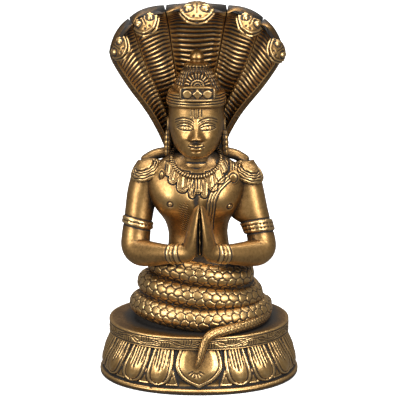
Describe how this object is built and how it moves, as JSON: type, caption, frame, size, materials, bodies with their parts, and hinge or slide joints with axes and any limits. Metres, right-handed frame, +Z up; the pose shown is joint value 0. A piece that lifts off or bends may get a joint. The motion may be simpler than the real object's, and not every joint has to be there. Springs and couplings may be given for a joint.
{
  "type": "patanjali figure",
  "caption": "Cast brass temple figure with joined hands, rising from a coiled serpent under a hood of cobra heads, on an oval lotus plinth.",
  "frame": {"origin": "middle of the plinth's flat underside", "axes": "+Z up through the head; the figure faces -Y; +X to the viewer's right"},
  "size_m": [0.1612, 0.1354, 0.3052],
  "materials": {
    "antique_brass": "polished on the high places, with dark patina left in the grooves"
  },
  "bodies": {
    "root": {"figure": "antique_brass"}
  },
  "joints": []
}
